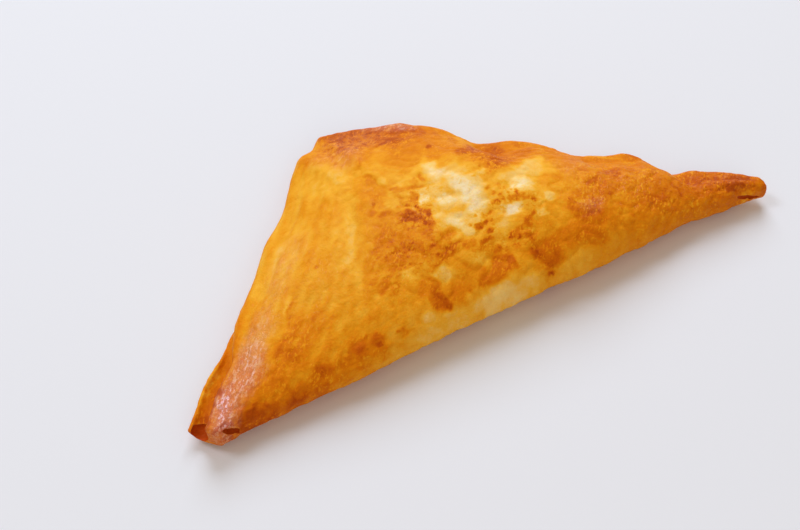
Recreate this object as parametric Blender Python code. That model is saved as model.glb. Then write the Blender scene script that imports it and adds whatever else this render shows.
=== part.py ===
"""A brik: a sheet of thin pastry with its edges turned in, folded to a triangle over a filling and fried.

The pastry is one closed solid. It is lofted from upright cross-sections that run from the folded long
side to the seam on the two short sides, and its relief is pushed out along the surface afterwards.
Metres, +Z up, +X along the fold from the left tip to the right tip, +Y towards the blunt apex.
"""

import math

import bmesh
import bpy
import numpy as np
from mathutils import Vector, noise

# Plan: the folded long side, and the corners of the seam round the two short sides.
FOLD_START = (-0.1053, -0.0466)
FOLD_END = (0.1154, -0.0504)
SEAM_CORNERS = (
    (-0.1146, -0.0370),
    (-0.0298, 0.0490),
    (-0.0240, 0.0496),
    (-0.0185, 0.0552),
    (0.0121, 0.0468),
    (0.0211, 0.0390),
    (0.1161, -0.0426),
)
CORNER_SOFTNESS = 0.0014
# Where the seam is drawn in between its corners: distance along it, half width, depth.
SEAM_DIPS = (
    (0.018, 0.011, -0.0009),
    (0.030, 0.009, 0.0008),
    (0.049, 0.008, 0.0010),
    (0.062, 0.016, 0.0020),
    (0.092, 0.014, 0.0023),
    (0.197, 0.0105, 0.0043),
    (0.235, 0.0100, 0.0037),
    (0.255, 0.0060, -0.0022),
    (0.271, 0.0080, 0.0050),
    (0.284, 0.0070, 0.0009),
)
# Where the fold bellies out: share of its length, half width as a share, depth.
FOLD_SWELLS = ((0.06, 0.05, -0.0007), (0.20, 0.05, 0.0005), (0.42, 0.14, -0.0005), (0.84, 0.15, -0.0021),
               (0.955, 0.03, -0.0007))

# Heights and places along the pastry, as (share of the seam's length, value) pairs.
CROWN_HEIGHT = ((0, 0.0112), (0.06, 0.0128), (0.15, 0.0168), (0.3, 0.0230), (0.44, 0.0262),
                (0.56, 0.0262), (0.7, 0.0232), (0.82, 0.0180), (0.92, 0.0132), (1, 0.0104))
CROWN_PLACE = ((0, 0.68), (0.12, 0.66), (0.28, 0.54), (0.45, 0.44), (0.6, 0.45), (0.8, 0.50), (1, 0.55))
LIP_HEIGHT = ((0, 0.0104), (0.1, 0.0108), (0.25, 0.0102), (0.44, 0.0108), (0.6, 0.0106), (0.8, 0.0104),
              (1, 0.0096))
FOLD_HEIGHT = ((0, 0.0050), (0.1, 0.0064), (0.3, 0.0086), (0.5, 0.0092), (0.7, 0.0086), (0.9, 0.0062),
               (1, 0.0046))
BASE_LIFT = ((0, 0.0012), (0.1, 0.0), (0.5, 0.0), (0.88, 0.0), (1, 0.0016))

# The seam's rim in section: distance out from the seam, and share of the lip's height.
CLOSED_RIM = ((-0.0050, 1.10), (-0.0018, 0.97), (-0.0004, 0.84), (0.0000, 0.72), (-0.0010, 0.60),
              (-0.0034, 0.51), (-0.0012, 0.43), (-0.0002, 0.32), (-0.0008, 0.20), (-0.0036, 0.08))
# The same rim at the left tip, where the lower layer stands out as a trough beside the upper one.
OPEN_RIM = ((-0.0100, 1.08), (-0.0082, 1.09), (-0.0069, 0.97), (-0.0072, 0.66), (-0.0066, 0.42),
            (-0.0046, 0.34), (-0.0022, 0.42), (-0.0010, 0.58), (0.0000, 0.46), (-0.0024, 0.12))
SLIT_POINT = 5
TROUGH_START, TROUGH_END = 0.022, 0.050
FULL_RIM_WIDTH = 0.0125

FOLD_ROUNDNESS = 2.2
SEAM_ROUNDNESS = 2.0
SEAM_TUCK = 0.25
FOLD_HEEL = 0.012
SEAM_HEEL = 0.015
TIP_HEEL_SHARE = 0.32

# The ends swell out from their last section by so much, and shrink to this share of it.
LEFT_FACING, RIGHT_FACING = (-0.77, -0.64, 0.0), (0.96, -0.28, 0.0)
LEFT_SWELL, RIGHT_SWELL = 0.0015, 0.0018
NOSE_SHARE = 0.55

# Hollows where the layers gape at the tips: middle, radii along, across and up, and the degrees by
# which each dips towards its right end and is turned in plan.
HOLLOWS = {
    "left_mouth": ((-0.1110, -0.0398, 0.0058), (0.0040, 0.0034, 0.0031), 0, 42),
    "fold_mouth": ((-0.1026, -0.0462, 0.0087), (0.0034, 0.0018, 0.0011), 35, -6),
    "right_pinch": ((0.1074, -0.0500, 0.0073), (0.0080, 0.0022, 0.0011), 22, -6),
}

# Relief on the top: place, radii, turn in degrees and height of each hump or hollow.
HUMPS = (
    (0.013, 0.004, 0.012, 0.015, -20, -0.0020),
    (0.035, -0.005, 0.008, 0.006, 20, -0.0012),
    (0.025, -0.017, 0.006, 0.005, 0, -0.0010),
    (-0.005, -0.003, 0.009, 0.007, -30, 0.0010),
    (-0.014, -0.037, 0.009, 0.007, 20, 0.0010),
    (0.006, -0.036, 0.010, 0.005, 25, 0.0010),
    (-0.052, -0.040, 0.010, 0.007, 15, 0.0008),
    (0.022, -0.043, 0.005, 0.006, 0, 0.0009),
    (-0.034, -0.004, 0.004, 0.026, -20, 0.0010),
    (-0.005, 0.043, 0.020, 0.006, -14, 0.0010),
    (0.033, 0.012, 0.010, 0.006, -38, 0.0012),
    (0.076, -0.014, 0.009, 0.006, -35, 0.0008),
    (0.1046, -0.0440, 0.0036, 0.0020, -12, -0.0009),
    (0.1080, -0.0468, 0.0080, 0.0016, -14, 0.0008),
    (0.1004, -0.0438, 0.0020, 0.0018, 0, 0.0007),
)
SWELL_HEIGHT, SWELL_SIZE = 0.0010, 0.024
WRINKLE_HEIGHT, WRINKLE_WIDTH, WRINKLE_LENGTH = 0.0006, 0.0065, 0.024
WRINKLE_TURN = math.radians(60)
BLISTER_HEIGHT, BLISTER_SIZE = 0.0003, 0.0075

# Mesh: stations along the loft, the points on each stretch of a section, and the rings of an end.
STATIONS = 80
STRETCH_POINTS = (29, 9, 8, 16)
NOSE_RINGS = 4
HOLLOW_STEPS = 12
# Places where the stations crowd together, as (share, reach, crowding) triples.
CROWDED_STATIONS = ((0.0, 0.06, 1.6), (0.43, 0.04, 1.6), (1.0, 0.07, 1.6))
DENSE = 600
PER_SPAN = 12

CRUST_COLOUR = (0.72, 0.33, 0.05, 1.0)
CRUST_ROUGHNESS = 0.42


def keyed(pairs, share):
    """The value between (share, value) pairs, with no kink at any of them."""
    at = np.array([pair[0] for pair in pairs], dtype=float)
    values = np.array([pair[1] for pair in pairs], dtype=float)
    slopes = np.gradient(values, at)
    left = np.clip(np.searchsorted(at, share, side="right") - 1, 0, len(at) - 2)
    span = at[left + 1] - at[left]
    t = (share - at[left]) / span
    rise = values[left] + (values[left + 1] - values[left]) * t * t * (3 - 2 * t)
    return rise + span * (slopes[left] * t * (1 - t) ** 2 - slopes[left + 1] * t * t * (1 - t))


def ease(low, high, value):
    """0 up to low, 1 from high on, and a smooth step between."""
    t = np.clip((value - low) / (high - low), 0.0, 1.0)
    return t * t * (3 - 2 * t)


def bump(offset, reach):
    return np.exp(-((offset / reach) ** 2))


def lengths_along(points):
    steps = np.linalg.norm(np.diff(points, axis=0), axis=1)
    return np.concatenate([[0.0], np.cumsum(steps)])


def spaced(points, count):
    """The same line through count evenly spaced points."""
    along = lengths_along(points)
    at = np.linspace(0.0, along[-1], count)
    return np.stack([np.interp(at, along, column) for column in points.T], axis=1)


def curve_through(points):
    """A Catmull-Rom curve through the points, PER_SPAN steps from each to the next."""
    p = np.vstack([2 * points[0] - points[1], points, 2 * points[-1] - points[-2]])
    t = np.linspace(0.0, 1.0, PER_SPAN, endpoint=False)[:, None]
    spans = [
        0.5 * (2 * b + (c - a) * t + (2 * a - 5 * b + 4 * c - d) * t ** 2 + (3 * b + d - a - 3 * c) * t ** 3)
        for a, b, c, d in zip(p, p[1:], p[2:], p[3:])
    ]
    return np.vstack([*spans, points[-1:]])


def seam_line():
    """Points along the seam in plan, softened at the corners and drawn in at the dips, and the
    outward normal and the length along at each."""
    line = spaced(np.array(SEAM_CORNERS), DENSE)
    along = lengths_along(line)
    reach = int(4 * CORNER_SOFTNESS / along[1])
    weights = bump(np.arange(-reach, reach + 1) * along[1], math.sqrt(2) * CORNER_SOFTNESS)
    before = 2 * line[0] - line[reach:0:-1]
    after = 2 * line[-1] - line[-2:-reach - 2:-1]
    padded = np.vstack([before, line, after])
    line = np.stack([np.convolve(column, weights / weights.sum(), "valid") for column in padded.T], axis=1)
    tangents = np.gradient(line, axis=0)
    tangents /= np.linalg.norm(tangents, axis=1)[:, None]
    outward = np.stack([-tangents[:, 1], tangents[:, 0]], axis=1)
    for place, half_width, depth in SEAM_DIPS:
        line = line - outward * (depth * bump(along - place, 0.85 * half_width))[:, None]
    return line, outward, along


def section(share, along, width, slant):
    """One upright section as four stretches of (distance from the fold, height): from the fold over
    the top to the shoulder, round the upper lip into the slit, round the lower lip, and underneath."""
    crown = keyed(CROWN_HEIGHT, share)
    lip = keyed(LIP_HEIGHT, share)
    fold = keyed(FOLD_HEIGHT, share)
    lift = keyed(BASE_LIFT, share)

    closed = ease(TROUGH_START, TROUGH_END, along)
    rim = closed * np.array(CLOSED_RIM) + (1 - closed) * np.array(OPEN_RIM)
    out = rim[:, 0] * slant * min(1.0, width / FULL_RIM_WIDTH)
    rim = curve_through(np.stack([width + out, lift + rim[:, 1] * (lip - lift)], axis=1))
    slit = SLIT_POINT * PER_SPAN
    shoulder, heel = rim[0], rim[-1]

    crest = keyed(CROWN_PLACE, share) * shoulder[0]
    turn = np.linspace(0.0, 0.5 * math.pi, 60)
    rise = np.stack([
        crest * (1 - np.cos(turn) ** (2 / FOLD_ROUNDNESS)),
        fold + (crown - fold) * np.sin(turn) ** (2 / FOLD_ROUNDNESS),
    ], axis=1)
    t = np.linspace(0.0, 1.0, 60)[1:-1]
    tuck = 1 - closed * (1 - SEAM_TUCK)
    drop = tuck * 0.5 * (1 - np.cos(math.pi * t)) + (1 - tuck) * t ** SEAM_ROUNDNESS
    fall = np.stack([
        crest + (shoulder[0] - crest) * t,
        crown + (shoulder[1] - crown) * drop,
    ], axis=1)

    fold_heel = min(FOLD_HEEL, TIP_HEEL_SHARE * width)
    seam_heel = min(SEAM_HEEL, TIP_HEEL_SHARE * width + 0.003, 0.9 * (width - fold_heel))
    back = np.linspace(1.0, 0.0, 30)[:, None]
    contact = np.array([width - seam_heel, lift])
    sweep = contact + (heel - contact) * np.hstack([back, back ** 2])
    toe = np.stack([
        fold_heel * (1 - np.sin(turn)),
        fold - (fold - lift) * np.cos(turn),
    ], axis=1)
    return np.vstack([rise, fall, shoulder[None]]), rim[:slit + 1], rim[slit:], np.vstack([sweep, toe])


def station_shares():
    """The shares of the seam's length at which the stations stand."""
    share = np.linspace(0.0, 1.0, DENSE)
    density = 1 + sum(crowding * bump(share - place, reach) for place, reach, crowding in CROWDED_STATIONS)
    progress = np.concatenate([[0.0], np.cumsum(0.5 * (density[1:] + density[:-1]))])
    return np.interp(np.linspace(0.0, 1.0, STATIONS), progress / progress[-1], share)


def lofted():
    """The grid of points, stations by points round the section, and which of them lie on the top."""
    seam, outward, along = seam_line()
    start, end = np.array(FOLD_START), np.array(FOLD_END)
    rows = []
    for share in station_shares():
        place = share * along[-1]
        at_seam = np.array([np.interp(place, along, column) for column in seam.T])
        normal = np.array([np.interp(place, along, column) for column in outward.T])
        at_fold = start + (end - start) * share
        for middle, half_width, depth in FOLD_SWELLS:
            at_fold[1] -= depth * bump(share - middle, 0.85 * half_width)
        width = np.linalg.norm(at_seam - at_fold)
        across = (at_seam - at_fold) / width
        slant = 1 / max(0.6, across @ (normal / np.linalg.norm(normal)))
        stretches = section(share, place, width, slant)
        loop = np.vstack([spaced(line, count + 1)[:-1] for line, count in zip(stretches, STRETCH_POINTS)])
        rows.append(np.column_stack([at_fold + loop[:, :1] * across, loop[:, 1]]))
    return np.array(rows)


def normals_of(grid):
    """Unit normals of a grid that is closed round its second axis, facing out."""
    along = np.gradient(grid, axis=0)
    around = np.roll(grid, -1, axis=1) - np.roll(grid, 1, axis=1)
    normals = np.cross(around, along)
    return normals / np.linalg.norm(normals, axis=2, keepdims=True)


def relief(x, y):
    """How far the crust stands out at a place on the top."""
    height = 0.0
    for place_x, place_y, long_side, short_side, turn, tall in HUMPS:
        cos, sin = math.cos(math.radians(turn)), math.sin(math.radians(turn))
        dx, dy = x - place_x, y - place_y
        along, across = (dx * cos + dy * sin) / long_side, (dy * cos - dx * sin) / short_side
        height += tall * math.exp(-along ** 2 - across ** 2)
    height += SWELL_HEIGHT * noise.noise(Vector((x / SWELL_SIZE, y / SWELL_SIZE, 3.1)))
    cos, sin = math.cos(WRINKLE_TURN), math.sin(WRINKLE_TURN)
    lengthways, sideways = (x * cos + y * sin) / WRINKLE_LENGTH, (y * cos - x * sin) / WRINKLE_WIDTH
    height += WRINKLE_HEIGHT * noise.noise(Vector((lengthways, sideways, 7.7)))
    height += BLISTER_HEIGHT * noise.noise(Vector((x / BLISTER_SIZE, y / BLISTER_SIZE, 11.3)))
    return height


def crusted(grid):
    """The grid with the relief on its top, fading out round the seam's rim."""
    normals = normals_of(grid)
    top, lip = STRETCH_POINTS[0], STRETCH_POINTS[1]
    strength = np.zeros(grid.shape[1])
    strength[:top] = 1.0
    strength[top:top + lip] = np.linspace(1.0, 0.3, lip)
    strength[top + lip:top + lip + 4] = (0.2, 0.15, 0.1, 0.05)
    heights = np.array([[relief(x, y) for x, y, _ in row] for row in grid])
    moved = grid + normals * (heights * strength)[:, :, None]

    moved[:, :, 2] = np.maximum(moved[:, :, 2], 0.0)
    return moved


def nose_rings(loop, facing, swell):
    """Rings that round an end off: ever smaller copies of its section, each a little further out."""
    middle = loop.mean(axis=0)
    forward = np.array(facing) * swell
    turns = np.linspace(0.0, math.acos(NOSE_SHARE), NOSE_RINGS + 1)[1:]
    return [middle + (loop - middle) * math.cos(turn) + forward * math.sin(turn) for turn in turns]


def build_pastry():
    """The lofted pastry with its ends closed, and the shift that centres it over the origin."""
    grid = crusted(lofted())
    left = nose_rings(grid[0], LEFT_FACING, LEFT_SWELL)
    right = nose_rings(grid[-1], RIGHT_FACING, RIGHT_SWELL)
    rings = np.array([*reversed(left), *grid, *right])
    shift = -0.5 * (rings.min(axis=(0, 1)) + rings.max(axis=(0, 1))) * (1, 1, 0)

    shape = bmesh.new()
    loops = [[shape.verts.new(point) for point in ring + shift] for ring in rings]
    for ring, following in zip(loops, loops[1:]):
        for i, corner in enumerate(ring):
            shape.faces.new((ring[i - 1], corner, following[i], following[i - 1]))
    shape.faces.new(loops[0])
    shape.faces.new(loops[-1])
    bmesh.ops.recalc_face_normals(shape, faces=shape.faces)
    bmesh.ops.triangulate(shape, faces=shape.faces)

    mesh = bpy.data.meshes.new("folded_pastry")
    shape.to_mesh(mesh)
    shape.free()
    mesh.shade_smooth()
    pastry = bpy.data.objects.new("folded_pastry", mesh)
    bpy.context.scene.collection.objects.link(pastry)
    return pastry, Vector(shift)


def cut_hollow(pastry, name, middle, radii, dip, turn):
    """A gaping fold at a tip, cut by a stretched ball that stays behind as a hidden guide."""
    shape = bmesh.new()
    bmesh.ops.create_uvsphere(shape, u_segments=HOLLOW_STEPS, v_segments=HOLLOW_STEPS // 2, radius=1.0)
    bmesh.ops.scale(shape, verts=shape.verts, vec=radii)
    mesh = bpy.data.meshes.new(name)
    shape.to_mesh(mesh)
    shape.free()
    cutter = bpy.data.objects.new(name, mesh)
    cutter.location = middle
    cutter.rotation_euler = (0.0, math.radians(dip), math.radians(turn))
    cutter.hide_render = True
    cutter.display_type = "WIRE"
    bpy.context.scene.collection.objects.link(cutter)
    cut = pastry.modifiers.new(name, "BOOLEAN")
    cut.operation = "DIFFERENCE"
    cut.solver = "EXACT"
    cut.object = cutter


def crust_material():
    material = bpy.data.materials.new("fried_crust")
    material.use_nodes = True
    surface = material.node_tree.nodes["Principled BSDF"]
    surface.inputs["Base Color"].default_value = CRUST_COLOUR
    surface.inputs["Roughness"].default_value = CRUST_ROUGHNESS
    surface.inputs["Metallic"].default_value = 0.0
    return material


for old in list(bpy.data.objects):
    bpy.data.objects.remove(old, do_unlink=True)
folded_pastry, centring = build_pastry()
folded_pastry.data.materials.append(crust_material())
for hollow, (place, size, dip, bearing) in HOLLOWS.items():
    cut_hollow(folded_pastry, hollow, Vector(place) + centring, size, dip, bearing)
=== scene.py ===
"""The looks of a brik: a fried, folded pastry with a thin wrinkled crust, browned and pale
patches and pinched, gaping tips, on a pale floor in soft light from behind and from the left.

The crust repeats the solid's loft at a finer step, in metres, and adds wrinkles and blisters.
Its colour comes from how far each place is fried: 0 is pale dough, 0.5 golden orange and 1 dark
brown. Painted highlights, sheen and shade are laid over it.
"""

import math

import bmesh
import bpy
import numpy as np
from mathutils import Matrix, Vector, geometry, noise


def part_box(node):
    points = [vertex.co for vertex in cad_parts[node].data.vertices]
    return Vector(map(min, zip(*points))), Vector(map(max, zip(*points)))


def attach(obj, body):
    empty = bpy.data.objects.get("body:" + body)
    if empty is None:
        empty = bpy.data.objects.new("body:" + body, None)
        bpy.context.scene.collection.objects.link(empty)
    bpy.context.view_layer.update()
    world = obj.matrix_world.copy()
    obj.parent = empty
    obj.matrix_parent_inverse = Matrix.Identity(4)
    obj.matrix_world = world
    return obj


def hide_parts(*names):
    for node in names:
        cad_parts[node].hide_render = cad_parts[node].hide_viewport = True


# Plan: the folded long side, and the corners of the seam round the two short sides.
FOLD_START = (-0.1053, -0.0466)
FOLD_END = (0.1154, -0.0504)
SEAM_CORNERS = (
    (-0.1146, -0.0370), (-0.0298, 0.0490), (-0.0240, 0.0496), (-0.0185, 0.0552), (0.0121, 0.0468),
    (0.0211, 0.0390), (0.1161, -0.0426),
)
CORNER_SOFTNESS = 0.0014
# Where the seam is drawn in between its corners: distance along it, half width, depth.
SEAM_DIPS = (
    (0.018, 0.011, -0.0009), (0.030, 0.009, 0.0008), (0.049, 0.008, 0.0010),
    (0.062, 0.016, 0.0020), (0.092, 0.014, 0.0023), (0.197, 0.0105, 0.0043),
    (0.235, 0.0100, 0.0037), (0.255, 0.0060, -0.0022), (0.271, 0.0080, 0.0050),
    (0.284, 0.0070, 0.0009),
)
# Where the fold bellies out: share of its length, half width as a share, depth.
FOLD_SWELLS = ((0.06, 0.05, -0.0007), (0.20, 0.05, 0.0005), (0.42, 0.14, -0.0005),
               (0.84, 0.15, -0.0021), (0.955, 0.03, -0.0007))
# At this share of its half width a dip or swell is down to about a third.
DIP_REACH = 0.85

# Heights and places along the pastry, as (share of the seam's length, value) pairs.
CROWN_HEIGHT = ((0, 0.0112), (0.06, 0.0128), (0.15, 0.0168), (0.3, 0.0230), (0.44, 0.0262),
                (0.56, 0.0262), (0.7, 0.0232), (0.82, 0.0180), (0.92, 0.0132), (1, 0.0104))
CROWN_PLACE = ((0, 0.68), (0.12, 0.66), (0.28, 0.54), (0.45, 0.44), (0.6, 0.45), (0.8, 0.50),
               (1, 0.55))
LIP_HEIGHT = ((0, 0.0104), (0.1, 0.0108), (0.25, 0.0102), (0.44, 0.0108), (0.6, 0.0106),
              (0.8, 0.0104), (1, 0.0096))
FOLD_HEIGHT = ((0, 0.0050), (0.1, 0.0064), (0.3, 0.0086), (0.5, 0.0092), (0.7, 0.0086),
               (0.9, 0.0062), (1, 0.0046))
BASE_LIFT = ((0, 0.0012), (0.1, 0.0), (0.5, 0.0), (0.88, 0.0), (1, 0.0016))

# The seam's rim in section: distance out from the seam, and share of the lip's height.
CLOSED_RIM = ((-0.0050, 1.10), (-0.0018, 0.97), (-0.0004, 0.84), (0.0000, 0.72), (-0.0010, 0.60),
              (-0.0034, 0.51), (-0.0012, 0.43), (-0.0002, 0.32), (-0.0008, 0.20), (-0.0036, 0.08))
# The same rim at the left tip, where the lower layer stands out as a trough beside the upper one.
OPEN_RIM = ((-0.0100, 1.08), (-0.0082, 1.09), (-0.0069, 0.97), (-0.0072, 0.66), (-0.0066, 0.42),
            (-0.0046, 0.34), (-0.0022, 0.42), (-0.0010, 0.58), (0.0000, 0.46), (-0.0024, 0.12))
SLIT_POINT = 5
TROUGH_START, TROUGH_END = 0.022, 0.050
# The rim narrows where the pastry is narrower than this, and widens where it runs at a slant.
FULL_RIM_WIDTH = 0.0125
LEAST_SLANT = 0.6

# How round the top is towards the fold and the seam, and how S-shaped it falls to a closed seam.
FOLD_ROUNDNESS = 2.2
SEAM_ROUNDNESS = 2.0
SEAM_TUCK = 0.25
# How far in from its edges the underside touches the ground, and the limits of it at the tips.
FOLD_HEEL, SEAM_HEEL = 0.012, 0.015
TIP_HEEL_SHARE, TIP_HEEL_SPARE, HEEL_LIMIT = 0.32, 0.003, 0.9

# The ends face these ways, swell out from their last section by so much, and shrink to this share
# of it.
LEFT_FACING, RIGHT_FACING = (-0.77, -0.64, 0.0), (0.96, -0.28, 0.0)
LEFT_SWELL, RIGHT_SWELL = 0.0015, 0.0018
NOSE_SHARE = 0.55

# Hollows where the layers gape at the tips: middle, radii along, across and up, and the degrees by
# which each dips towards its right end and is turned in plan.
HOLLOWS = {
    "left_mouth": ((-0.1110, -0.0398, 0.0058), (0.0040, 0.0034, 0.0031), 0, 42),
    "fold_mouth": ((-0.1026, -0.0462, 0.0087), (0.0034, 0.0018, 0.0011), 35, -6),
    "right_pinch": ((0.1074, -0.0500, 0.0073), (0.0080, 0.0022, 0.0011), 22, -6),
}
BALL_FINENESS, DENT_DEPTH, DENT_SCALE = 5, 0.16, 1.7

# Low relief on the top: place, radii, turn in degrees and height of each hump or hollow.
HUMPS = (
    (0.013, 0.004, 0.012, 0.015, -20, -0.0020), (0.035, -0.005, 0.008, 0.006, 20, -0.0012),
    (0.025, -0.017, 0.006, 0.005, 0, -0.0010), (-0.005, -0.003, 0.009, 0.007, -30, 0.0010),
    (-0.014, -0.037, 0.009, 0.007, 20, 0.0010), (0.006, -0.036, 0.010, 0.005, 25, 0.0010),
    (-0.052, -0.040, 0.010, 0.007, 15, 0.0008), (0.022, -0.043, 0.005, 0.006, 0, 0.0009),
    (-0.034, -0.004, 0.004, 0.026, -20, 0.0010), (-0.005, 0.043, 0.020, 0.006, -14, 0.0010),
    (0.033, 0.012, 0.010, 0.006, -38, 0.0012), (0.076, -0.014, 0.009, 0.006, -35, 0.0008),
    (0.1046, -0.0440, 0.0036, 0.0020, -12, -0.0009),
    (0.1080, -0.0468, 0.0080, 0.0016, -14, 0.0008), (0.1004, -0.0438, 0.0020, 0.0018, 0, 0.0007),
)
SWELL_HEIGHT, SWELL_SIZE = 0.0010, 0.024
WRINKLE_HEIGHT, WRINKLE_WIDTH, WRINKLE_LENGTH, WRINKLE_TURN = 0.0006, 0.0065, 0.024, 60
BLISTER_HEIGHT, BLISTER_SIZE = 0.0003, 0.0075

# Mesh: stations along the loft, where they crowd (place, reach, how much), the points on each
# stretch of a section, the rings of an end and the net that closes it.
STATIONS = 380
CROWDED_STATIONS = ((0.0, 0.06, 1.6), (0.43, 0.04, 1.2), (1.0, 0.07, 1.6))
STRETCH_POINTS = (160, 16, 16, 24, 22)
NOSE_RINGS = 8
NET_STEP, NET_CLEARANCE, NET_PRECISION, NET_INSIDE_ONLY = 0.00045, 0.7, 1e-7, 1
# The steps of the fine lines that these points are taken from.
DENSE, PER_SPAN, ARC_STEPS = 1200, 24, 150

# Fine relief: height and size of meandering wrinkles, long streaks, bubbles and grain.
CRINKLE_HEIGHT, CRINKLE_SIZE, CRINKLE_SHARPNESS = 0.00045, 0.0056, 4
CRINKLE_WANDER, WANDER_SIZE, CRINKLE_MIDDLE = 0.5, 1.8, 0.4
STREAK_HEIGHT, STREAK_SIZE, STREAK_STRETCH, STREAK_TURN = 0.00040, 0.0026, 3.6, 47
BUBBLE_HEIGHT, BUBBLE_SIZE, BUBBLE_SHAPE, BUBBLE_EDGE = 0.00042, 0.0026, (0.8, 1.1), (0.10, 0.55)
GRAIN_HEIGHT, GRAIN_SIZE = 0.00013, 0.0014
# Where streaks take the wrinkles' place and bubbles rise, in plan, and what is left elsewhere.
STREAKED_LEFT, STREAKED_APEX, APEX_SHARE = (-0.050, -0.012), (0.016, 0.034), 0.8
BUBBLED_LEFT, BUBBLED_RIGHT, RIGHT_SHARE = (-0.096, -0.066), (0.035, 0.075), 0.7
CRINKLE_LOSS, LEAST_STREAK, LEAST_BUBBLE = 0.6, 0.3, 0.25

# Each noise has a layer of its own, so that no two repeat each other.
SWELL_LAYER, WRINKLE_LAYER, BLISTER_LAYER, WANDER_LAYER = 3.1, 7.7, 11.3, 5.0
CRINKLE_LAYER, STREAK_LAYER, BUBBLE_LAYER, GRAIN_LAYER = 21.0, 31.0, 41.0, 51.0
STRAY_LAYER, MOTTLE_LAYER, UNDERSIDE_LAYER = 61.0, 71.0, 81.0

# Round a section, what each stretch starts and ends with: its share of the low and of the fine
# relief, and how much of it is lip, slit and underside.
LOW_SHARES = (1, 1), (1, 0.3), (0.1, 0), (0, 0), (0, 1)
FINE_SHARES = (1, 1), (1, 0), (0, 0.6), (0.4, 0.2), (0.2, 1)
LIPS = (0, 0.6), (0.8, 1), (1, 0.6), (0, 0), (0, 0)
SLIT = (0, 0), (0, 1), (1, 0), (0, 0), (0, 0)
UNDERNEATH = (0, 0), (0, 0), (0, 0.6), (0.8, 1), (0.8, 0)
SLIT_SHARPNESS = 3

# How far the crust is fried along X before its patches: (place, doneness) pairs.
DONENESS_ALONG = (
    (-0.115, 0.66), (-0.100, 0.60), (-0.075, 0.48), (-0.050, 0.38), (-0.020, 0.42),
    (0.010, 0.42), (0.040, 0.46), (0.060, 0.54), (0.085, 0.60), (0.115, 0.72),
)

# Patches in millimetres from this place of the plan, each painted over those before it: place,
# half length, half width, turn in degrees, doneness, and strength where it isn't the usual. The
# tones are broad, the flecks small, and the others are parts of the top.
MM, USUAL_STRENGTH = 0.001, 0.8
PATCH_ORIGIN = (0.0004, 0.0028)
TONES = (
    (-62, -2, 22, 14, 46, 0.38), (-47, 12, 18, 12, 50, 0.36), (-58, -22, 16, 8, 45, 0.43, 0.7),
    (-28, 24, 11, 9, 60, 0.31), (-38, 15, 9, 6, 60, 0.41, 0.7), (-46, 7, 8, 6, 50, 0.42, 0.6),
    (-38, -12, 10, 6, 60, 0.34, 0.7), (-52, -34, 13, 7, 12, 0.47),
    (-32, -42, 10, 7, 10, 0.44, 0.7), (-73, -35, 7, 6, 20, 0.68, 0.7),
    (-86, -40, 12, 7, 25, 0.64, 0.7), (-55, -45, 16, 5, 3, 0.64, 0.7),
    (-67, 1, 12, 6, 48, 0.30, 0.7), (-78, -25, 12, 6, 44, 0.40, 0.7),
    (-64, -33, 8, 7, 10, 0.53, 0.7), (-69, -31, 10, 4.5, 80, 0.62, 0.5),
    (-87, -49.5, 24, 2.6, 2, 0.78, 0.9), (-20, -20, 20, 16, 10, 0.57, 0.9),
    (-21, 5, 8, 7, 80, 0.51), (-9, 38, 14, 10, -10, 0.62, 0.9), (10, 33, 15, 9, -30, 0.72, 0.9),
    (0, 47, 22, 5, -12, 0.74, 0.9), (-8, 20, 14, 7, -10, 0.46), (9, 15, 18, 13, -30, 0.59),
    (20, 4, 8, 7, 50, 0.55, 0.7), (31, 6, 14, 8, 52, 0.74, 0.9), (4, -6, 15, 19, 10, 0.21, 0.9),
    (1, -22, 10, 7, 0, 0.20), (33, -12, 17, 9, 30, 0.23, 0.9), (20, -24, 8, 5, 0, 0.27),
    (33, -25, 8, 5, 0, 0.36), (-4, -40, 20, 6, 4, 0.57, 0.7), (22, -41, 9, 9, 0, 0.62, 0.7),
    (57, -12, 22, 8, -38, 0.60), (42, -42, 10, 6, 0, 0.68), (70, -32, 22, 8, -30, 0.60),
    (78, -10, 12, 4, -38, 0.50, 0.7), (80, -43, 22, 5, -6, 0.69),
)
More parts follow.
